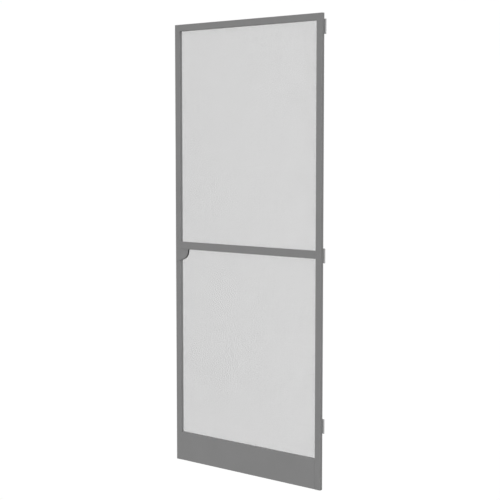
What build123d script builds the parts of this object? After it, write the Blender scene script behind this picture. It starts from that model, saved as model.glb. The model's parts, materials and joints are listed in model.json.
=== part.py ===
from build123d import *
import os

# A hinged insect-screen door leaf in hollow aluminium, on three small butt hinges.
# The origin is on the back face of the middle hinge's jamb leaf, where the door is screwed on,
# midway between its two screw holes.
# +X points from the latch side to the hinge side, +Y from the front to the back, +Z up.

# Driving dimensions of the leaf
door_width = 880.0
door_height = 2100.0
frame_depth = 16.0
stile_face = 31.0
top_rail_face = 31.0
mid_rail_face = 35.0
mid_rail_centre = 1050.0
kick_panel_face = 138.0
wall = 1.2
edge_radius = 0.8
joint_gap = 0.15

# Spline groove in the back of each frame member
groove_inset = 5.0
groove_width = 4.6
groove_depth = 5.5
bead_below_back = 0.2
mesh_room = 0.3
bead_end_gap = 0.5
mesh_thickness = 0.4
mesh_columns = 10
mesh_bar = 18.0

# Pieces inside the hollow profiles
insert_clearance = 0.2
corner_key_leg = 60.0
connector_length = 40.0
kick_chambers = 3
cap_thickness = 1.5
cap_plug_height = 10.0

# Hinges
hinge_height = 64.0
top_hinge_drop = 58.0
middle_hinge_rise = 1047.0
bottom_hinge_rise = 288.0
hinge_leaf_thickness = 2.0
hinge_leaf_gap = 1.0
hinge_leaf_reach = 28.0
hinge_screw_line = 17.0
hinge_screw_spacing = 40.0
screw_hole_radius = 2.1
screw_sink_radius = 3.4
screw_sink_angle = 90.0
axis_beyond_stile = 5.15
knuckle_radius = 4.0
knuckle_seat_gap = 0.2
knuckle_count = 5
knuckle_gap = 0.3
knuckle_clearance = 0.5
pin_radius = 2.0
pin_clearance = 0.05
pin_head_radius = 3.0
pin_head_height = 1.2
leaf_corner_radius = 3.0

# Finger grip in the corner between the latch stile and the middle rail
grip_stand = 2.0
grip_lip = 1.0
grip_inset = 3.0
grip_drop = 65.5
grip_toe_drop = 47.0
grip_toe_out = 52.0
grip_side_out = 79.5
grip_side_drop = 8.5
grip_neck_out = 82.0
grip_head_rise = 31.0
grip_corner_radius = 3.0
grip_edge_radius = 1.2
finger_channel_depth = 9.0
finger_channel_width = 7.0
grip_flange = 1.6
grip_mesh_gap = 0.2
back_grip_thickness = 3.0
back_grip_inset = 13.0
back_grip_corner_radius = 5.0
back_grip_edge_radius = 1.2

# Magnetic strip on the back of the latch stile
magnet_width = 12.0
magnet_thickness = 4.0
magnet_inset = 3.0
magnet_end_gap = 20.0

# Planes of the leaf, worked out from the jamb face that holds the origin
axis_x = hinge_screw_line
axis_y = -knuckle_radius - knuckle_seat_gap
hinge_edge_x = axis_x - axis_beyond_stile
latch_edge_x = hinge_edge_x - door_width
back_y = -2 * hinge_leaf_thickness - hinge_leaf_gap
front_y = back_y - frame_depth
middle_y = (front_y + back_y) / 2
bottom_z = -middle_hinge_rise
top_z = bottom_z + door_height
hinge_centres = {"top": top_z - top_hinge_drop, "middle": 0.0, "bottom": bottom_z + bottom_hinge_rise}
latch_inner_x = latch_edge_x + stile_face
hinge_inner_x = hinge_edge_x - stile_face
opening_width = hinge_inner_x - latch_inner_x
mid_top_z = bottom_z + mid_rail_centre + mid_rail_face / 2
mid_bottom_z = mid_top_z - mid_rail_face
kick_top_z = bottom_z + kick_panel_face

# The hollow's main chamber starts one wall behind the groove
groove_side = groove_inset + groove_width / 2
chamber_start = groove_side + wall
groove_floor = frame_depth - groove_depth


def draw_chamber(low, high, floor=wall, ceiling=frame_depth - wall):
    """Cut one hollow chamber between two distances across the face."""
    with Locations(((low + high) / 2, (floor + ceiling) / 2)):
        Rectangle(high - low, ceiling - floor, mode=Mode.SUBTRACT)


def draw_groove(centre):
    """Cut one spline groove, open at the back, and the hollow in front of it."""
    with Locations((centre, frame_depth - groove_depth / 2)):
        Rectangle(groove_width, groove_depth, mode=Mode.SUBTRACT)


def draw_outline(face):
    """Draw the profile's outside, with its four edges rounded."""
    with Locations((face / 2, frame_depth / 2)):
        RectangleRounded(face, frame_depth, edge_radius)


def draw_edge_profile(face):
    """Draw a stile's or top rail's section: outer edge at 0, groove near the inner edge."""
    inner = face - chamber_start
    draw_outline(face)
    draw_groove(face - groove_inset)
    draw_chamber(wall, inner)
    draw_chamber(inner, face - wall, ceiling=groove_floor - wall)


def draw_mid_profile(face):
    """Draw the middle rail's section, with a groove near each edge."""
    draw_outline(face)
    for centre in (groove_inset, face - groove_inset):
        draw_groove(centre)
    draw_chamber(chamber_start, face - chamber_start)
    draw_chamber(wall, chamber_start, ceiling=groove_floor - wall)
    draw_chamber(face - chamber_start, face - wall, ceiling=groove_floor - wall)


def kick_chamber_span(index):
    """Give the low and high side of one chamber of the kick panel, from its top."""
    pitch = (kick_panel_face - chamber_start) / kick_chambers
    low = chamber_start + index * pitch
    return low, low + pitch - wall


def draw_kick_profile(face):
    """Draw the kick panel's section, with one groove and a row of chambers."""
    draw_outline(face)
    draw_groove(groove_inset)
    draw_chamber(wall, chamber_start, ceiling=groove_floor - wall)
    for index in range(kick_chambers):
        draw_chamber(*kick_chamber_span(index))


def save(piece, name):
    """Label one finished sub-part and write it."""
    piece.part.label = name
    export_step(piece.part, f"parts/{name}.step")


os.makedirs("parts", exist_ok=True)

# Stiles and top rail, mitred where they meet
latch_mitre = Plane(origin=(latch_edge_x, 0, top_z), x_dir=(0, 1, 0), z_dir=(top_rail_face, 0, stile_face))
hinge_mitre = Plane(origin=(hinge_edge_x, 0, top_z), x_dir=(0, 1, 0), z_dir=(-top_rail_face, 0, stile_face))
stile_length = door_height - cap_thickness

with BuildPart() as latch_stile:
    foot = Plane(origin=(latch_edge_x, front_y, bottom_z + cap_thickness), x_dir=(1, 0, 0), z_dir=(0, 0, 1))
    with BuildSketch(foot):
        draw_edge_profile(stile_face)
    extrude(amount=stile_length)
    split(bisect_by=latch_mitre.offset(-joint_gap / 2), keep=Keep.BOTTOM)
save(latch_stile, "latch_stile")

with BuildPart() as hinge_stile:
    head = Plane(origin=(hinge_edge_x, front_y, top_z), x_dir=(-1, 0, 0), z_dir=(0, 0, -1))
    with BuildSketch(head):
        draw_edge_profile(stile_face)
    extrude(amount=stile_length)
    split(bisect_by=hinge_mitre.offset(-joint_gap / 2), keep=Keep.BOTTOM)
save(hinge_stile, "hinge_stile")

with BuildPart() as top_rail:
    with BuildSketch(Plane(origin=(latch_edge_x, front_y, top_z), x_dir=(0, 0, -1), z_dir=(1, 0, 0))):
        draw_edge_profile(top_rail_face)
    extrude(amount=door_width)
    split(bisect_by=latch_mitre.offset(joint_gap / 2), keep=Keep.TOP)
    split(bisect_by=hinge_mitre.offset(joint_gap / 2), keep=Keep.TOP)
save(top_rail, "top_rail")

# Middle rail and kick panel, butted between the stiles
rail_start_x = latch_inner_x + joint_gap
rail_length = opening_width - 2 * joint_gap

with BuildPart() as mid_rail:
    with BuildSketch(Plane(origin=(rail_start_x, front_y, mid_top_z), x_dir=(0, 0, -1), z_dir=(1, 0, 0))):
        draw_mid_profile(mid_rail_face)
    extrude(amount=rail_length)
save(mid_rail, "mid_rail")

with BuildPart() as kick_panel:
    with BuildSketch(Plane(origin=(rail_start_x, front_y, kick_top_z), x_dir=(0, 0, -1), z_dir=(1, 0, 0))):
        draw_kick_profile(kick_panel_face)
    extrude(amount=rail_length)
save(kick_panel, "kick_panel")

# Corner keys inside the mitred corners, and connectors inside the butted rails
key_low = wall + insert_clearance
key_high_stile = stile_face - chamber_start - insert_clearance
key_high_rail = top_rail_face - chamber_start - insert_clearance
key_thickness = frame_depth - 2 * key_low
key_front_y = front_y + key_low

for side, edge_x, inward in (("latch", latch_edge_x, 1), ("hinge", hinge_edge_x, -1)):
    key_plane = Plane(origin=(edge_x, key_front_y, top_z), x_dir=(inward, 0, 0), z_dir=(0, inward, 0))
    with BuildPart() as corner_key:
        with BuildSketch(key_plane):
            stile_leg = (key_low, key_low, key_high_stile, corner_key_leg)
            rail_leg = (key_low, key_low, corner_key_leg, key_high_rail)
            for left, near, right, far in (stile_leg, rail_leg):
                with Locations(((left + right) / 2, (near + far) / 2)):
                    Rectangle(right - left, far - near)
        extrude(amount=inward * key_thickness)
    save(corner_key, f"{side}_corner_key")

connector_spans = {
    "mid": (mid_top_z, chamber_start, mid_rail_face - chamber_start),
    "kick": (kick_top_z, *kick_chamber_span(1)),
}
for rail, (rail_top_z, low, high) in connector_spans.items():
    for side, inner_x, inward in (("latch", latch_inner_x, 1), ("hinge", hinge_inner_x, -1)):
        connector_x = inner_x + inward * connector_length / 2
        with BuildPart() as connector:
            with Locations((connector_x, middle_y, rail_top_z - (low + high) / 2)):
                Box(connector_length, key_thickness, high - low - 2 * insert_clearance)
        save(connector, f"{rail}_{side}_connector")

# Caps that close the stiles' lower ends
for side, edge_x, inward in (("latch", latch_edge_x, 1), ("hinge", hinge_edge_x, -1)):
    cap_x = edge_x + inward * stile_face / 2
    plug_x = edge_x + inward * (key_low + key_high_stile) / 2
    with BuildPart() as stile_cap:
        with Locations((cap_x, middle_y, bottom_z + cap_thickness / 2)):
            Box(stile_face, frame_depth, cap_thickness)
        fillet(stile_cap.edges().filter_by(Axis.Z), edge_radius)
        with Locations((plug_x, middle_y, bottom_z + cap_thickness + cap_plug_height / 2)):
            Box(key_high_stile - key_low, key_thickness, cap_plug_height)
    save(stile_cap, f"{side}_stile_cap")

# Mesh sheets over the back of each opening, and the beads that hold them in the grooves.
# A plain grid of openings, about as open as the mesh, stands for its fine weave.
latch_groove_x = latch_inner_x - groove_inset
hinge_groove_x = hinge_inner_x + groove_inset
mesh_x = (latch_groove_x + hinge_groove_x) / 2
panels = {
    "upper": (mid_top_z - groove_inset, top_z - top_rail_face + groove_inset),
    "lower": (kick_top_z - groove_inset, mid_bottom_z + groove_inset),
}
bead_radius = groove_width / 2 - mesh_room
bead_y = back_y - bead_below_back - bead_radius

column_pitch = opening_width / mesh_columns

for panel, (low_z, high_z) in panels.items():
    opening_height = high_z - low_z - 2 * groove_inset
    mesh_rows = round(opening_height / column_pitch)
    row_pitch = opening_height / mesh_rows
    mesh_plane = Plane(origin=(mesh_x, back_y, (low_z + high_z) / 2), x_dir=(1, 0, 0), z_dir=(0, -1, 0))
    with BuildPart() as mesh_sheet:
        with BuildSketch(mesh_plane):
            Rectangle(hinge_groove_x - latch_groove_x, high_z - low_z)
            with GridLocations(column_pitch, row_pitch, mesh_columns, mesh_rows):
                Rectangle(column_pitch - mesh_bar, row_pitch - mesh_bar, mode=Mode.SUBTRACT)
        extrude(amount=-mesh_thickness)
    save(mesh_sheet, f"{panel}_mesh")

    for side, groove_x in (("latch", latch_groove_x), ("hinge", hinge_groove_x)):
        with BuildPart() as upright_bead:
            with BuildSketch(Plane(origin=(groove_x, bead_y, low_z - bead_radius))):
                Circle(bead_radius)
            extrude(amount=high_z - low_z + 2 * bead_radius)
        save(upright_bead, f"{panel}_{side}_bead")

    for level, groove_z in (("low", low_z), ("high", high_z)):
        at_mitre = panel == "upper" and level == "high"
        reach = groove_inset - bead_radius if at_mitre else 0
        bead_start_x = latch_inner_x - reach + bead_end_gap
        bead_end_x = hinge_inner_x + reach - bead_end_gap
        with BuildPart() as level_bead:
            with BuildSketch(Plane(origin=(bead_start_x, bead_y, groove_z), z_dir=(1, 0, 0))):
                Circle(bead_radius)
            extrude(amount=bead_end_x - bead_start_x)
        save(level_bead, f"{panel}_{level}_bead")

# Hinges: the stile leaf turns with the door, the jamb leaf and the pin stay
knuckle_length = (hinge_height - (knuckle_count - 1) * knuckle_gap) / knuckle_count
knuckle_pitch = knuckle_length + knuckle_gap
leaf_end_x = axis_x - hinge_leaf_reach


def make_hinge_leaf(centre_z, near_y, far_y, own_knuckles, sink_plane):
    """Make one hinge leaf: its plate, its knuckles, the notches for the other leaf's, and its holes."""
    other_knuckles = [index for index in range(knuckle_count) if index not in own_knuckles]
    low_z = centre_z - hinge_height / 2
    with BuildPart() as leaf:
        with Locations(((leaf_end_x + axis_x) / 2, (near_y + far_y) / 2, centre_z)):
            Box(hinge_leaf_reach, far_y - near_y, hinge_height)
        fillet(leaf.edges().filter_by(Axis.Y).group_by(Axis.X)[0], leaf_corner_radius)
        for index in other_knuckles:
            notch_z = low_z + index * knuckle_pitch - knuckle_gap
            with BuildSketch(Plane(origin=(axis_x, axis_y, notch_z))):
                Circle(knuckle_radius + knuckle_clearance)
            extrude(amount=knuckle_length + 2 * knuckle_gap, mode=Mode.SUBTRACT)
        for index in own_knuckles:
            with BuildSketch(Plane(origin=(axis_x, axis_y, low_z + index * knuckle_pitch))):
                Circle(knuckle_radius)
            extrude(amount=knuckle_length)
        with BuildSketch(Plane(origin=(axis_x, axis_y, low_z))):
            Circle(pin_radius + pin_clearance)
        extrude(amount=hinge_height, mode=Mode.SUBTRACT)
        with Locations(sink_plane):
            with Locations((0, hinge_screw_spacing / 2), (0, -hinge_screw_spacing / 2)):
                CounterSinkHole(
                    screw_hole_radius,
                    screw_sink_radius,
                    depth=hinge_leaf_thickness,
                    counter_sink_angle=screw_sink_angle,
                )
    return leaf


jamb_knuckles = list(range(0, knuckle_count, 2))
stile_knuckles = list(range(1, knuckle_count, 2))

for place, centre_z in hinge_centres.items():
    stile_leaf_y = back_y + hinge_leaf_thickness
    jamb_leaf_y = -hinge_leaf_thickness
    stile_sink = Plane(origin=(0, stile_leaf_y, centre_z), x_dir=(-1, 0, 0), z_dir=(0, 1, 0))
    jamb_sink = Plane(origin=(0, jamb_leaf_y, centre_z), x_dir=(1, 0, 0), z_dir=(0, -1, 0))
    stile_leaf = make_hinge_leaf(centre_z, back_y, stile_leaf_y, stile_knuckles, stile_sink)
    save(stile_leaf, f"{place}_stile_hinge_leaf")
    jamb_leaf = make_hinge_leaf(centre_z, jamb_leaf_y, 0, jamb_knuckles, jamb_sink)
    save(jamb_leaf, f"{place}_jamb_hinge_leaf")

    with BuildPart() as hinge_pin:
        with BuildSketch(Plane(origin=(axis_x, axis_y, centre_z - hinge_height / 2))):
            Circle(pin_radius)
        extrude(amount=hinge_height)
        for end_z, up in ((centre_z + hinge_height / 2, 1), (centre_z - hinge_height / 2, -1)):
            with BuildSketch(Plane(origin=(axis_x, axis_y, end_z))):
                Circle(pin_head_radius)
            extrude(amount=up * pin_head_height)
        fillet(hinge_pin.edges().filter_by(GeomType.CIRCLE).group_by(Axis.Z)[-1], pin_head_height / 2)
        fillet(hinge_pin.edges().filter_by(GeomType.CIRCLE).group_by(Axis.Z)[0], pin_head_height / 2)
    save(hinge_pin, f"{place}_hinge_pin")

# Finger grip: a cover plate in the corner, on a body with a channel round its free edge for the fingertips.
# Its outline is drawn from the latch edge and the middle rail's bottom edge, and runs on behind the rail.
grip_plane = Plane(origin=(latch_edge_x, front_y, mid_bottom_z), x_dir=(1, 0, 0), z_dir=(0, -1, 0))


def draw_grip_outline():
    """Draw the grip's outline, seen from the front."""
    with BuildLine() as outline:
        lower_edge = Line((grip_inset, -grip_drop), (grip_toe_out, -grip_toe_drop))
        curved_edge = TangentArc(lower_edge @ 1, (grip_side_out, -grip_side_drop), tangent=lower_edge % 1)
        neck = TangentArc(curved_edge @ 1, (grip_neck_out, 0), tangent=curved_edge % 1)
        head = ((grip_neck_out, grip_head_rise), (grip_inset, grip_head_rise))
        Polyline(neck @ 1, *head, lower_edge @ 0)
    make_face(outline.edges())


def keep_corner(start):
    """Keep only what lies beyond a distance from the latch edge and below the middle rail."""
    with Locations((start, 0)):
        Rectangle(door_width, door_height, align=(Align.MIN, Align.MAX), mode=Mode.INTERSECT)


with BuildPart() as front_grip:
    with BuildSketch(grip_plane):
        draw_grip_outline()
        keep_corner(0)
    extrude(amount=grip_stand)
    fillet(front_grip.edges().filter_by(Axis.Y).group_by(Axis.X)[0], grip_corner_radius)
    fillet(front_grip.faces().sort_by(Axis.Y)[0].edges(), grip_edge_radius)
    with BuildSketch(grip_plane.offset(-grip_lip)):
        draw_grip_outline()
        keep_corner(stile_face)
    extrude(amount=grip_lip)
save(front_grip, "front_grip")

body_depth = frame_depth - grip_mesh_gap
flange_depth = grip_lip + finger_channel_width + grip_flange

with BuildPart() as grip_body:
    with BuildSketch(grip_plane.offset(-body_depth)):
        draw_grip_outline()
        offset(amount=-finger_channel_depth, mode=Mode.REPLACE)
        keep_corner(stile_face)
    extrude(amount=body_depth - grip_lip)
    with BuildSketch(grip_plane.offset(-flange_depth)):
        draw_grip_outline()
        keep_corner(stile_face)
    extrude(amount=grip_flange)
save(grip_body, "grip_body")

# Its back plate is the same shape drawn in, so that the front one hides it
with BuildPart() as back_grip:
    with BuildSketch(grip_plane.offset(-(frame_depth + mesh_thickness + back_grip_thickness))):
        draw_grip_outline()
        offset(amount=-back_grip_inset, mode=Mode.REPLACE)
    extrude(amount=back_grip_thickness)
    fillet(back_grip.edges().filter_by(Axis.Y).group_by(Axis.Z)[-1], back_grip_corner_radius)
    fillet(back_grip.edges().filter_by(Axis.Y).group_by(Axis.Z)[0], back_grip_corner_radius)
    fillet(back_grip.faces().sort_by(Axis.Y)[-1].edges(), back_grip_edge_radius)
save(back_grip, "back_grip")

# Magnetic strip that holds the door shut
with BuildPart() as magnet_strip:
    strip_centre_x = latch_edge_x + magnet_inset + magnet_width / 2
    with Locations((strip_centre_x, back_y + magnet_thickness / 2, (bottom_z + top_z) / 2)):
        Box(magnet_width, magnet_thickness, door_height - 2 * magnet_end_gap)
    fillet(magnet_strip.edges().filter_by(Axis.Z).group_by(Axis.Y)[-1], edge_radius)
save(magnet_strip, "magnet_strip")
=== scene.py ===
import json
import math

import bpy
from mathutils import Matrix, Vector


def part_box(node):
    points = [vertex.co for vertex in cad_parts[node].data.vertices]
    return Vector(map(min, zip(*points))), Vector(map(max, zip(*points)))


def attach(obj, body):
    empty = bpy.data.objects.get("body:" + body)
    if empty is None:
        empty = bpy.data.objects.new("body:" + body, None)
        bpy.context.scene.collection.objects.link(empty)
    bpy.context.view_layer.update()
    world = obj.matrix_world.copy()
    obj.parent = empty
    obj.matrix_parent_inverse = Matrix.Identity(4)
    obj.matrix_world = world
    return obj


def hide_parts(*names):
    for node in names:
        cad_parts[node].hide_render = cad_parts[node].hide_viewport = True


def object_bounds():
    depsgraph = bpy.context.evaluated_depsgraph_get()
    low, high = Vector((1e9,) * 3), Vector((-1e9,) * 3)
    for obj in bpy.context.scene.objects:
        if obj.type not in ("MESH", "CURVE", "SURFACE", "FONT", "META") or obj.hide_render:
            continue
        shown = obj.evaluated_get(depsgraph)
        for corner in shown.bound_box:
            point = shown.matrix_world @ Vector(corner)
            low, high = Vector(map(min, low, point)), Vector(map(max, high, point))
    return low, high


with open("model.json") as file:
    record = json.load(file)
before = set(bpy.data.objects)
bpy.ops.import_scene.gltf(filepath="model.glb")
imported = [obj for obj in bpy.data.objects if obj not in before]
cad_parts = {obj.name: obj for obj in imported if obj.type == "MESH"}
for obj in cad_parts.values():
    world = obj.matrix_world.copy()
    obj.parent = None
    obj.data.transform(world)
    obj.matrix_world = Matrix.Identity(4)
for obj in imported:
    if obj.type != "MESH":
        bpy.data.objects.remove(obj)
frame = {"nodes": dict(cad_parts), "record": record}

# Looks of the screen door: its finishes, mesh panels, spline cords and screws, and the studio.
# Everything is in metres in the door's own frame: the origin is on the back of the middle hinge's jamb
# leaf, X runs from the latch side to the hinge side, Y from the front to the back, and Z upwards.

cad_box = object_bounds()

mm = 0.001

# The door, as in the CAD source
frame_back = -5.0 * mm
stile_leaf_back = -3.0 * mm
grip_back = -1.6 * mm
floor_level = -1047.0 * mm
groove_half_width = 2.3 * mm
hinge_heights = (0.995, 0.0, -0.759)
hinge_length = 64 * mm
hinge_knuckles = 5
hinge_screw_offset = 20 * mm
barrel_edge = 13 * mm
latch_stile_middle = -847.15 * mm
latch_connector = -817.15 * mm
hinge_connector = -39.15 * mm
mid_rail_middle = 3 * mm
kick_panel_screw_heights = (-971 * mm, -993 * mm)

# Woven mesh: 18 upright and 16 level yarns to the inch
upright_pitch = 25.4 / 18 * mm
level_pitch = 25.4 / 16 * mm
yarn_radius = 0.178 * mm
upright_layer = -4.815 * mm
level_layer = -4.70 * mm
yarn_tuck = 2.4 * mm


# Node trees

class Link:
    """A node's output. Arithmetic on it adds Math nodes to its tree."""

    def __init__(self, tree, socket):
        self.tree = tree
        self.socket = socket

    def maths(self, operation, *values):
        settings = {"operation": operation}
        return self.tree.add("ShaderNodeMath", settings, dict(enumerate(values)))

    def __add__(self, other):
        return self.maths("ADD", self, other)

    def __sub__(self, other):
        return self.maths("SUBTRACT", self, other)

    def __rsub__(self, other):
        return self.maths("SUBTRACT", other, self)

    def __mul__(self, other):
        return self.maths("MULTIPLY", self, other)

    def __truediv__(self, other):
        return self.maths("DIVIDE", self, other)

    def __neg__(self):
        return self.maths("MULTIPLY", self, -1.0)

    def __gt__(self, other):
        return self.maths("GREATER_THAN", self, other)

    def __lt__(self, other):
        return self.maths("LESS_THAN", self, other)

    def size(self):
        return self.maths("ABSOLUTE", self)

    def floor(self):
        return self.maths("FLOOR", self)

    def fraction(self):
        return self.maths("FRACT", self)

    def cosine(self):
        return self.maths("COSINE", self)

    def odd(self):
        """1 for an odd whole number and 0 for an even one."""
        return self.maths("MODULO", self, 2.0)

    def fade(self, start, end):
        """0 at start and 1 at end, eased in between."""
        settings = {"interpolation_type": "SMOOTHSTEP"}
        sockets = {0: self, 1: start, 2: end, 3: 0.0, 4: 1.0}
        return self.tree.add("ShaderNodeMapRange", settings, sockets)

    __radd__ = __add__
    __rmul__ = __mul__


class Tree:
    """A node tree that gets its nodes one at a time."""

    def __init__(self, nodes):
        self.nodes = nodes

    def add(self, kind, settings=None, sockets=None, output=0):
        """A new node: its settings first, then the values or links of its sockets."""
        node = self.nodes.nodes.new(kind)
        for name, value in (settings or {}).items():
            if name == "choices":
                while len(node.index_switch_items) < value:
                    node.index_switch_items.new()
            else:
                setattr(node, name, value)
        for place, value in (sockets or {}).items():
            for one in value if isinstance(value, list) else [value]:
                if isinstance(one, Link):
                    self.nodes.links.new(one.socket, node.inputs[place])
                else:
                    node.inputs[place].default_value = one
        return Link(self, node.outputs[output]) if node.outputs else None

    def point(self, x=0.0, y=0.0, z=0.0):
        return self.add("ShaderNodeCombineXYZ", None, {0: x, 1: y, 2: z})

    def parts(self, vector):
        """The X, Y and Z of a vector."""
        node = self.add("ShaderNodeSeparateXYZ", None, {0: vector}).socket.node
        return [Link(self, socket) for socket in node.outputs]


# Finishes

class Finish(Tree):
    """A material made of nodes, which reads the place on the object."""

    def __init__(self, name):
        self.material = bpy.data.materials.new(name)
        self.material.use_nodes = True
        super().__init__(self.material.node_tree)
        self.nodes.nodes.clear()
        self.place = self.add("ShaderNodeTexCoord", output="Object")

    def grain(self, size, detail=2.0, stretch=(1, 1, 1), rough=0.5):
        """Noise from 0 to 1 whose lumps are about size metres across, drawn out by stretch."""
        scale = tuple(1 / (size * s) for s in stretch)
        place = self.add("ShaderNodeVectorMath", {"operation": "MULTIPLY"}, {0: self.place, 1: scale})
        sockets = {"Vector": place, "Scale": 1.0, "Detail": detail, "Roughness": rough}
        return self.add("ShaderNodeTexNoise", None, sockets)

    def pits(self, size):
        """Distance to the nearest of many scattered points, 0 at each point."""
        sockets = {"Vector": self.place, "Scale": 1 / size}
        return self.add("ShaderNodeTexVoronoi", None, sockets)

    def attribute(self, name):
        return self.add("ShaderNodeAttribute", {"attribute_name": name}, None, "Fac")

    def blend(self, amount, first, second):
        """From the first colour at 0 to the second at 1."""
        sockets = {0: amount, 6: first, 7: second}
        return self.add("ShaderNodeMix", {"data_type": "RGBA"}, sockets, 2)

    def relief(self, height, depth):
        """A normal for a surface whose height, from 0 to 1, is depth metres deep."""
        sockets = {"Height": height, "Distance": depth, "Strength": 1.0}
        return self.add("ShaderNodeBump", None, sockets)

    def done(self, **sockets):
        """Closes the material with one surface shader."""
        named = {name.replace("_", " "): value for name, value in sockets.items()}
        shader = self.add("ShaderNodeBsdfPrincipled", None, named)
        self.add("ShaderNodeOutputMaterial", None, {"Surface": shader})
        return self.material


def grey(level, warmth=0.0):
    """An almost neutral colour: warmth adds a little red and takes a little blue."""
    return (level * (1 + warmth), level, level * (1 - warmth), 1.0)


def powder_coat(name, level, peel_size):
    """Matt powder coat: a fine orange peel with pinhead grit, and a faint cloudiness."""
    coat = Finish(name)
    cloud = coat.grain(0.11, 3.0)
    peel = coat.grain(peel_size, 2.0)
    grit = coat.grain(peel_size * 0.3, 1.0)
    height = peel * 0.6 + grit * 0.4
    tone = (cloud - 0.5) * 0.5 + (grit - 0.5) * 0.5 + 0.5
    colour = coat.blend(tone.fade(0.2, 0.8), grey(level * 0.95), grey(level * 1.05))
    roughness = 0.65 + (cloud - 0.5) * 0.12 + (peel - 0.5) * 0.14
    normal = coat.relief(height, 0.05 * mm)
    return coat, colour, roughness, normal


def frame_coat():
    coat, colour, roughness, normal = powder_coat("frame_coat", 0.207, 0.9 * mm)
    return coat.done(Base_Color=colour, Roughness=roughness, Normal=normal, Specular_IOR_Level=0.3)


def hinge_coat():
    """The frame's coat in a lighter grey, rubbed through to steel where the knuckles meet. The lighter grey
    is painted light: a painted highlight on the barrels that also lifts the shade they sit in beside the
    stile.
    """
    # Painted light: this level is raised above the frame's so the barrels read as highlighted and lose the
    # shade of the corner beside the stile
    coat, colour, roughness, normal = powder_coat("hinge_coat", 0.33, 0.7 * mm)
    x, y, z = coat.parts(coat.place)
    top, middle, bottom = hinge_heights
    centre = (z > (top + middle) / 2) * top + (z < (middle + bottom) / 2) * bottom
    along_knuckle = ((z - centre) / (hinge_length / hinge_knuckles) + 0.5).fraction()
    from_gap = 0.5 - (along_knuckle - 0.5).size()
    near_gap = from_gap.fade(0.055, 0.012)
    on_barrel = x.fade(barrel_edge - 0.5 * mm, barrel_edge + 0.5 * mm)
    rubbed = near_gap * on_barrel * coat.grain(0.8 * mm, 3.0).fade(0.42, 0.56)
    colour = coat.blend(rubbed, colour, grey(0.42))
    roughness = roughness - rubbed * 0.18
    return coat.done(Base_Color=colour, Roughness=roughness, Metallic=rubbed * 0.9, Normal=normal,
                     Specular_IOR_Level=0.4)


def moulded_plastic(name, level):
    """Moulded plastic with a spark-eroded texture, slightly polished by hands where it stands out."""
    plastic = Finish(name)
    y = plastic.parts(plastic.place)[1]
    spark = plastic.grain(0.55 * mm, 3.0, rough=0.65)
    pit = plastic.pits(0.8 * mm).fade(0.05, 0.4)
    cloud = plastic.grain(0.03, 2.0)
    tone = (spark * 0.5 + cloud * 0.5).fade(0.3, 0.7)
    colour = plastic.blend(tone, grey(level * 0.95), grey(level * 1.05))
    handled = (-y).fade(20.0 * mm, 22.8 * mm) * cloud.fade(0.3, 0.6)
    roughness = 0.55 + (spark - 0.5) * 0.2 - handled * 0.12
    normal = plastic.relief(spark * 0.65 + pit * 0.35, 0.045 * mm)
    return plastic.done(Base_Color=colour, Roughness=roughness, Normal=normal, Specular_IOR_Level=0.42)


def insert_plastic():
    """Black glass-filled plastic: short pale fibres in a dull surface."""
    plastic = Finish("insert_plastic")
    fibre = plastic.grain(0.25 * mm, 2.0, stretch=(6, 1, 1)).fade(0.6, 0.75)
    swirl = plastic.grain(7 * mm, 3.0)
    colour = plastic.blend(fibre * 0.6 + swirl * 0.2, grey(0.035), grey(0.11))
    roughness = 0.48 + swirl * 0.2
    normal = plastic.relief(fibre * 0.5 + swirl * 0.5, 0.03 * mm)
    return plastic.done(Base_Color=colour, Roughness=roughness, Normal=normal)


def cap_plastic():
    """Dark grey moulded plastic, scuffed at the foot where it meets the sill."""
    plastic = Finish("cap_plastic")
    z = plastic.parts(plastic.place)[2]
    fine = plastic.grain(0.5 * mm, 2.0)
    foot = z.fade(floor_level + 1.5 * mm, floor_level)
    scuff = plastic.grain(2.2 * mm, 4.0, stretch=(3, 1, 1)).fade(0.5, 0.7) * foot
    colour = plastic.blend(scuff * 0.7 + fine * 0.15, grey(0.105), grey(0.21))
    roughness = 0.5 + fine * 0.14 + scuff * 0.15
    normal = plastic.relief(fine * 0.7 + scuff * 0.3, 0.03 * mm)
    return plastic.done(Base_Color=colour, Roughness=roughness, Normal=normal)


def yarn_coat():
    """Coated yarn, which swells over one crossing yarn and dips under the next; its colour is painted
    lighter on the swells and darker in the dips, as painted light and shade.
    """
    yarn = Finish("mesh_cloth")
    count = yarn.attribute("crossing")
    turn = yarn.attribute("parity")
    tone = yarn.attribute("tone")
    swell = (count * math.pi).cosine() * turn * 0.5 + 0.5
    skin = yarn.grain(0.16 * mm, 2.0)
    patch = yarn.grain(0.06, 3.0)
    # Painted light and shade: the colour is lighter where the yarn swells over a crossing and darker where
    # it dips under one, on top of its random tone and patches
    shade = tone * 0.45 + patch * 0.15 + swell * 0.4
    colour = yarn.blend(shade, grey(0.2), grey(0.272))
    normal = yarn.relief(swell * 0.85 + skin * 0.15, 0.16 * mm)
    roughness = 0.42 + skin * 0.2
    return yarn.done(Base_Color=colour, Roughness=roughness, Normal=normal, Specular_IOR_Level=0.4)


def bead_rubber():
    """Foamed spline cord: dark, dull, full of fine pores, with dust in its ribs."""
    rubber = Finish("bead_rubber")
    pore = rubber.pits(0.35 * mm).fade(0.0, 0.35)
    dust = rubber.grain(18 * mm, 4.0)
    rub = rubber.grain(1.4 * mm, 3.0)
    dusty = dust.fade(0.35, 0.75) * rub.fade(0.3, 0.7)
    colour = rubber.blend(dusty, grey(0.055), grey(0.13, 0.04))
    normal = rubber.relief(pore * 0.6 + rub * 0.4, 0.09 * mm)
    return rubber.done(Base_Color=colour, Roughness=0.72 + rub * 0.15, Normal=normal)


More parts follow.
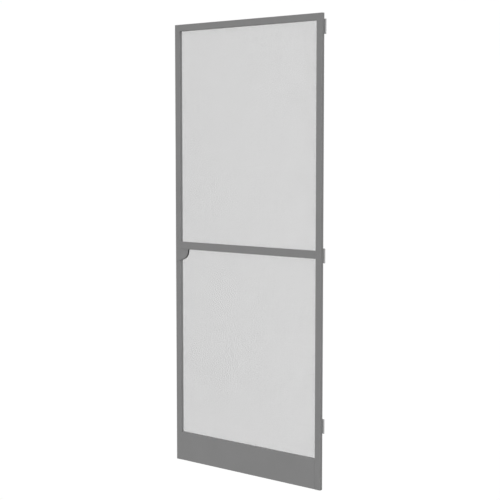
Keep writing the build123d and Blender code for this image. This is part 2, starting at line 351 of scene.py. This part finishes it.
def zinc_steel():
    """Zinc-plated steel with turning marks round the axis and a cloudy sheen."""
    steel = Finish("pin_steel")
    marks = steel.grain(0.12 * mm, 2.0, stretch=(30, 30, 1))
    cloud = steel.grain(2.5 * mm, 3.0)
    colour = steel.blend(cloud, grey(0.5, -0.03), grey(0.62, 0.03))
    roughness = 0.3 + cloud * 0.16 + marks * 0.06
    normal = steel.relief(marks * 0.5 + cloud * 0.5, 0.02 * mm)
    return steel.done(Base_Color=colour, Roughness=roughness, Normal=normal, Metallic=1.0)


def magnet_rubber():
    """Extruded magnetic strip: dull black with fine lengthwise lines and rubbed high spots."""
    rubber = Finish("magnet_rubber")
    lines = rubber.grain(0.35 * mm, 2.0, stretch=(1, 1, 60))
    rub = rubber.grain(9 * mm, 4.0, stretch=(0.5, 1, 3))
    specks = rubber.pits(0.6 * mm).fade(0.25, 0.0)
    shine = rub.fade(0.45, 0.7)
    colour = rubber.blend(shine * 0.5 + specks * 0.3 + lines * 0.2, grey(0.03), grey(0.085))
    normal = rubber.relief(lines * 0.7 + specks * 0.3, 0.05 * mm)
    return rubber.done(Base_Color=colour, Roughness=0.62 - shine * 0.16 + lines * 0.1, Normal=normal)


finishes = {
    "frame_coat": frame_coat(),
    "grip_plastic": moulded_plastic("grip_plastic", 0.2),
    # The grip's body is nearly black: partly its own dark plastic, partly painted shade for the finger
    # channel between the cover and the mesh
    "grip_body_plastic": moulded_plastic("grip_body_plastic", 0.06),
    "insert_plastic": insert_plastic(),
    "cap_plastic": cap_plastic(),
    "mesh_cloth": yarn_coat(),
    "bead_rubber": bead_rubber(),
    "hinge_coat": hinge_coat(),
    "pin_steel": zinc_steel(),
    "magnet_rubber": magnet_rubber(),
}

for part in frame["record"]["subparts"]:
    for place in frame["nodes"][part["node"]].material_slots:
        place.material = finishes[part["material_slot"]]


# Pieces that repeat or follow a path

yarn_sides = 6
cord_sides = 24
screw_sides = 28

# Faces that meet at more than this angle keep a sharp edge
sharp_angle = math.radians(38)


class Shop(Tree):
    """A geometry tree with named sizes, which turns a start mesh into a finished piece."""

    kinds = {float: "NodeSocketFloat", tuple: "NodeSocketVector"}

    def __init__(self, name, **sizes):
        super().__init__(bpy.data.node_groups.new(name, "GeometryNodeTree"))
        self.sizes = {words.replace("_", " "): value for words, value in sizes.items()}
        self.nodes.interface.new_socket("Start", in_out="INPUT", socket_type="NodeSocketGeometry")
        for words, value in self.sizes.items():
            self.nodes.interface.new_socket(words, in_out="INPUT", socket_type=self.kinds[type(value)])
        self.nodes.interface.new_socket("Piece", in_out="OUTPUT", socket_type="NodeSocketGeometry")
        given = self.add("NodeGroupInput").socket.node
        self.start = Link(self, given.outputs["Start"])
        self.given = {words: Link(self, given.outputs[words]) for words in self.sizes}

    def number(self):
        """The number of each point or copy, counted from 0."""
        return self.add("GeometryNodeInputIndex")

    def pick(self, values):
        """One value for each point along a line, by the point's number."""
        settings = {"data_type": "FLOAT", "choices": len(values)}
        sockets = dict(enumerate([self.number(), *values]))
        return self.add("GeometryNodeIndexSwitch", settings, sockets)

    def chance(self, low, high, seed):
        """A number from low to high, different for each point or copy, the same on every run."""
        sockets = {2: low, 3: high, "Seed": seed}
        return self.add("FunctionNodeRandomValue", {"data_type": "FLOAT"}, sockets, 1)

    def line(self, count, start=(0, 0, 0), step=(0, 0, 0)):
        sockets = {"Count": count, "Start Location": start, "Offset": step}
        return self.add("GeometryNodeMeshLine", {"mode": "OFFSET"}, sockets)

    def moved(self, geometry, **change):
        """The geometry with its points at a new Position, or moved by an Offset."""
        return self.add("GeometryNodeSetPosition", None, {"Geometry": geometry, **change})

    def transformed(self, geometry, **change):
        """The geometry as a whole with a Translation or a Rotation."""
        return self.add("GeometryNodeTransform", None, {"Geometry": geometry, **change})

    def path(self, points):
        return self.add("GeometryNodeMeshToCurve", None, {"Mesh": points})

    def ring(self, sides, radius):
        sockets = {"Resolution": sides, "Radius": radius}
        return self.add("GeometryNodeCurvePrimitiveCircle", None, sockets)

    def sweep(self, path, section, scale):
        """A closed solid: the section, scaled at each point, along the path."""
        sockets = {"Curve": path, "Profile Curve": section, "Scale": scale, "Fill Caps": True}
        return self.add("GeometryNodeCurveToMesh", None, sockets)

    def rod(self, points, radius, sides):
        """A closed round rod along a line of points, with a radius at each point."""
        return self.sweep(self.path(points), self.ring(sides, 1.0), radius)

    def note(self, geometry, name, value, domain="POINT"):
        """Keeps a number on the geometry under a name, for the finish to read."""
        settings = {"data_type": "FLOAT", "domain": domain}
        sockets = {"Geometry": geometry, "Name": name, "Value": value}
        return self.add("GeometryNodeStoreNamedAttribute", settings, sockets)

    def noted(self, name):
        return self.add("GeometryNodeInputNamedAttribute", {"data_type": "FLOAT"}, {"Name": name})

    def copies(self, points, shape, **turn):
        return self.add("GeometryNodeInstanceOnPoints", None, {"Points": points, "Instance": shape, **turn})

    def apart(self, copies):
        """Copies as separate geometry of their own."""
        return self.add("GeometryNodeRealizeInstances", None, {"Geometry": copies})

    def make(self, name, piece, slot, points=(), edges=()):
        """Runs the tree on the start mesh and keeps the result as a plain mesh on the door's leaf."""
        sockets = {"Geometry": self.apart(piece), "Material": finishes[slot]}
        solid = self.add("GeometryNodeSetMaterial", None, sockets)
        self.add("NodeGroupOutput", None, {"Piece": solid})
        blank = bpy.data.meshes.new(name)
        blank.from_pydata(points, edges, [])
        thing = bpy.data.objects.new(name, blank)
        bpy.context.scene.collection.objects.link(thing)
        modifier = thing.modifiers.new(name, "NODES")
        modifier.node_group = self.nodes
        for socket in self.nodes.interface.items_tree:
            if socket.name in self.sizes:
                modifier[socket.identifier] = self.sizes[socket.name]
        graph = bpy.context.evaluated_depsgraph_get()
        mesh = bpy.data.meshes.new_from_object(thing.evaluated_get(graph), depsgraph=graph)
        thing.modifiers.remove(modifier)
        thing.data = mesh
        mesh.shade_smooth()
        mesh.set_sharp_from_angle(angle=sharp_angle)
        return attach(thing, "door_leaf")


def yarns(shop, gap, span, pitch, other_pitch, layer, seed):
    """One set of parallel yarns across X, each standing along Z, with both ends in a groove."""
    count = (gap / pitch).floor() + 1.0
    first = (count - 1.0) * pitch * -0.5
    stray = shop.chance(-0.03 * mm, 0.03 * mm, seed)
    stray_depth = shop.chance(-0.012 * mm, 0.012 * mm, seed + 1)
    places = shop.line(count, shop.point(first), shop.point(pitch))
    places = shop.moved(places, Offset=shop.point(stray, stray_depth))

    # Four points at each end: how far past the opening's edge, and the share of the tuck
    end_bend = [(0.24 * mm, 1.0), (0.22 * mm, 0.16), (0.12 * mm, 0.04), (-0.5 * mm, 0.0)]
    both_ends = end_bend + end_bend[::-1]
    beyond = shop.pick([past for past, share in both_ends])
    side = shop.pick([-1.0] * len(end_bend) + [1.0] * len(end_bend))
    sunk = shop.pick([share for past, share in both_ends]) * shop.given["Tuck"]
    along = side * (span * 0.5 + beyond)
    bent = shop.moved(shop.line(len(both_ends)), Position=shop.point(0.0, layer - sunk, along))

    others = (span / other_pitch).floor()
    bent = shop.note(bent, "crossing", along / other_pitch + others * 0.5)
    copies = shop.copies(places, shop.rod(bent, shop.given["Yarn Radius"], yarn_sides))
    copies = shop.note(copies, "parity", shop.number().odd() * 2.0 - 1.0, "INSTANCE")
    return shop.note(copies, "tone", shop.chance(0.0, 1.0, seed + 2), "INSTANCE")


def weave(name, node, seed):
    """A panel's mesh: uprights and levels fused where they cross, tucked into the frame's grooves."""
    low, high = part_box(node)
    across = high.x - low.x - 2 * groove_half_width
    up = high.z - low.z - 2 * groove_half_width
    shop = Shop("woven_mesh", Across=across, Up=up, Upright_Pitch=upright_pitch, Level_Pitch=level_pitch,
                Yarn_Radius=yarn_radius, Tuck=yarn_tuck,
                Upright_Layer=upright_layer, Level_Layer=level_layer,
                Centre=((low.x + high.x) / 2, 0.0, (low.z + high.z) / 2))
    given = shop.given
    uprights = yarns(shop, given["Across"], given["Up"], given["Upright Pitch"], given["Level Pitch"],
                     given["Upright Layer"], seed)
    levels = yarns(shop, given["Up"], given["Across"], given["Level Pitch"], given["Upright Pitch"],
                   given["Level Layer"], seed + 10)
    levels = shop.transformed(shop.apart(levels), Rotation=(0.0, math.pi / 2, 0.0))
    levels = shop.note(levels, "parity", -shop.noted("parity"))
    both = shop.add("GeometryNodeJoinGeometry", None, {"Geometry": [uprights, levels]})
    piece = shop.make(name, shop.transformed(both, Translation=given["Centre"]), "mesh_cloth")
    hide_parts(node)


def spline(name, beads):
    """The cords that hold a panel in its grooves, ribbed lengthwise and rolled in a little unevenly."""
    ends = []
    for bead in beads:
        low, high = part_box(bead)
        middle = (low + high) / 2
        run = high - low
        axis = Vector((1, 0, 0)) if run.x > run.z else Vector((0, 0, 1))
        half = axis * max(run) / 2
        ends += [middle - half, middle + half]
    edges = [(n, n + 1) for n in range(0, len(ends), 2)]

    shop = Shop("spline_cord", Radius=2.0 * mm, Rib_Depth=0.11, Step=9.0 * mm, Unevenness=0.22 * mm)
    given = shop.given
    sockets = {"Curve": shop.path(shop.start), "Length": given["Step"]}
    path = shop.add("GeometryNodeResampleCurve", {"mode": "LENGTH"}, sockets)
    where = shop.add("GeometryNodeInputPosition")
    ripple = shop.add("ShaderNodeTexNoise", None, {"Vector": where, "Scale": 22.0, "Detail": 2.0})
    lift = (ripple - 0.5) * given["Unevenness"] * 2.0
    path = shop.moved(path, Offset=shop.point(0.0, lift))
    sockets = {0: where, "Scale": 1.0 - shop.number().odd() * given["Rib Depth"]}
    ribs = shop.add("ShaderNodeVectorMath", {"operation": "SCALE"}, sockets)
    section = shop.moved(shop.ring(cord_sides, given["Radius"]), Position=ribs)
    thickness = 0.985 + (ripple - 0.5) * 0.05
    piece = shop.make(name, shop.sweep(path, section, thickness), "bead_rubber", ends, edges)
    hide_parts(*beads)


def screws(name, seats, seed, **sizes):
    """Cross-recessed screws driven forwards into the door, whose heads lie on the seats."""
    shop = Shop("screw", **sizes)
    given = shop.given
    head, shank, length = given["Head Radius"], given["Shank Radius"], given["Length"]
    sink, rise, depth = given["Sink"], given["Rise"], given["Recess Depth"]

    # From the tip to the crown: the place along the screw and the radius there
    turned = [
        (-length, shank * 0.3),
        (1.2 * mm - length, shank),
        (-sink - 0.02 * mm, shank),
        (0.0, head),
        (rise * 0.45, head * 0.95),
        (rise * 0.8, head * 0.78),
        (rise, head * 0.45),
    ]
    height = shop.pick([place for place, radius in turned])
    spine = shop.moved(shop.line(len(turned)), Position=shop.point(0.0, height, 0.0))
    screw = shop.rod(spine, shop.pick([radius for place, radius in turned]), screw_sides)

    # The second slot is a little shallower, so that the two floors don't lie in one plane
    for span, width, share in (("Recess Span", "Recess Width", 1.0), ("Recess Width", "Recess Span", 0.9)):
        size = shop.point(given[span], depth * share * 2.0, given[width])
        slot = shop.add("GeometryNodeMeshCube", None, {"Size": size})
        slot = shop.transformed(slot, Translation=shop.point(0.0, rise))
        sockets = {"Mesh 1": screw, "Mesh 2": slot}
        screw = shop.add("GeometryNodeMeshBoolean", {"operation": "DIFFERENCE"}, sockets)

    # Each screw stops at an angle of its own, in radians
    turn = shop.point(0.0, shop.chance(0.0, 3.0, seed))
    shop.make(name, shop.copies(shop.start, screw, Rotation=turn), "pin_steel", seats)


weave("upper_weave", "upper_mesh", 4)
weave("lower_weave", "lower_mesh", 34)
for panel in ("upper", "lower"):
    spline(f"{panel}_spline", [f"{panel}_{side}_bead" for side in ("latch", "hinge", "low", "high")])

hinge_seats = [(0.0, stile_leaf_back - 0.15 * mm, height + side * hinge_screw_offset)
               for height in hinge_heights for side in (-1, 1)]
screws("hinge_screws", hinge_seats, 5, Head_Radius=3.2 * mm, Shank_Radius=1.9 * mm, Length=11 * mm,
       Sink=1.3 * mm, Rise=0.1 * mm, Recess_Span=3.6 * mm, Recess_Width=0.85 * mm, Recess_Depth=1.3 * mm)

# One at the middle rail's hinge end, since the grip covers the other end, and two at each kick panel end
rail_seats = [(hinge_connector, frame_back, mid_rail_middle)]
rail_seats += [(x, frame_back, height)
               for x in (latch_connector, hinge_connector) for height in kick_panel_screw_heights]
screws("connector_screws", rail_seats, 6, Head_Radius=3.1 * mm, Shank_Radius=1.7 * mm, Length=9 * mm,
       Sink=0.05 * mm, Rise=1.5 * mm, Recess_Span=3.2 * mm, Recess_Width=0.8 * mm, Recess_Depth=1.1 * mm)

# Two on the stile and one in the corner beside it
grip_seats = [(latch_stile_middle, grip_back, height) for height in (-8.5 * mm, -48.5 * mm)]
grip_seats += [(-811.15 * mm, grip_back, -28.5 * mm)]
screws("grip_screws", grip_seats, 7, Head_Radius=2.7 * mm, Shank_Radius=1.4 * mm, Length=9 * mm,
       Sink=0.05 * mm, Rise=1.3 * mm, Recess_Span=2.9 * mm, Recess_Width=0.7 * mm, Recess_Depth=1.0 * mm)


# Studio

# Just above full white, so that noise doesn't grey it
paper_white = 1.01


def plain_floor():
    """A pale floor just under the door, as bright as the room, that neither lights nor shades the door."""
    reach = 40.0
    z = cad_box[0].z - 10 * mm
    corners = [(-reach, -reach, z), (reach, -reach, z), (reach, reach, z), (-reach, reach, z)]
    mesh = bpy.data.meshes.new("floor")
    mesh.from_pydata(corners, [], [(0, 1, 2, 3)])
    floor = bpy.data.objects.new("floor", mesh)
    bpy.context.scene.collection.objects.link(floor)
    paper = Finish("floor_paper")
    glow = paper.add("ShaderNodeEmission", None, {"Color": grey(1.0), "Strength": paper_white})
    paper.add("ShaderNodeOutputMaterial", None, {"Surface": glow})
    mesh.materials.append(paper.material)
    floor.visible_diffuse = False
    floor.visible_glossy = False
    floor.visible_shadow = False


def paper_white_room():
    """The room: paper white to look at, with soft light in front and behind, and little from below."""
    world = bpy.data.worlds.new("room")
    bpy.context.scene.world = world
    world.use_nodes = True
    room = Tree(world.node_tree)
    room.nodes.nodes.clear()
    x, y, z = room.parts(room.add("ShaderNodeTexCoord", output="Generated"))
    in_front = (-y).fade(-0.15, 0.25)
    behind = (y * 0.69 - x * 0.52 + z * 0.5).fade(0.3, 1.0)
    from_below = (-z).fade(0.1, 0.7)
    right, beside, above = x * 0.93, (1.0 - y * y) * 0.965, z * 1.19
    front = in_front * (0.75 + right + beside - above)
    light = (0.255 + front + behind * 1.95) * (1.0 - from_below * 0.9)
    seen = room.add("ShaderNodeLightPath", output="Is Camera Ray")
    strength = light + seen * (paper_white - light)
    back = room.add("ShaderNodeBackground", None, {"Color": grey(1.0), "Strength": strength})
    room.add("ShaderNodeOutputWorld", None, {"Surface": back})


def aimed(data, direction):
    """Puts a lamp or a camera into the scene, pointing in a direction."""
    holder = bpy.data.objects.new(data.name, data)
    holder.rotation_mode = "QUATERNION"
    holder.rotation_quaternion = Vector(direction).to_track_quat("-Z", "Y")
    bpy.context.scene.collection.objects.link(holder)
    return holder


def front_light():
    """A weak, very wide light in front of the door, from the upper right."""
    lamp = bpy.data.lights.new("front_light", "SUN")
    lamp.energy = 0.15
    lamp.angle = math.radians(40)
    aimed(lamp, (-0.45, 0.63, -0.63))


def camera():
    """The photograph's camera, fitted to the straight edges of the door's frame."""
    lens = bpy.data.cameras.new("camera")
    lens.lens = 89.55
    lens.sensor_width = 36.0
    lens.clip_start = 0.1
    lens.clip_end = 200.0
    yaw, pitch = -0.7075, 0.08407
    level = math.cos(pitch)
    holder = aimed(lens, (math.sin(yaw) * level, math.cos(yaw) * level, -math.sin(pitch)))
    holder.location = (3.29807, -4.34221, 0.4834)
    bpy.context.scene.camera = holder


plain_floor()
paper_white_room()
front_light()
camera()
bpy.context.scene.view_settings.view_transform = "Standard"
bpy.context.scene.view_settings.look = "None"
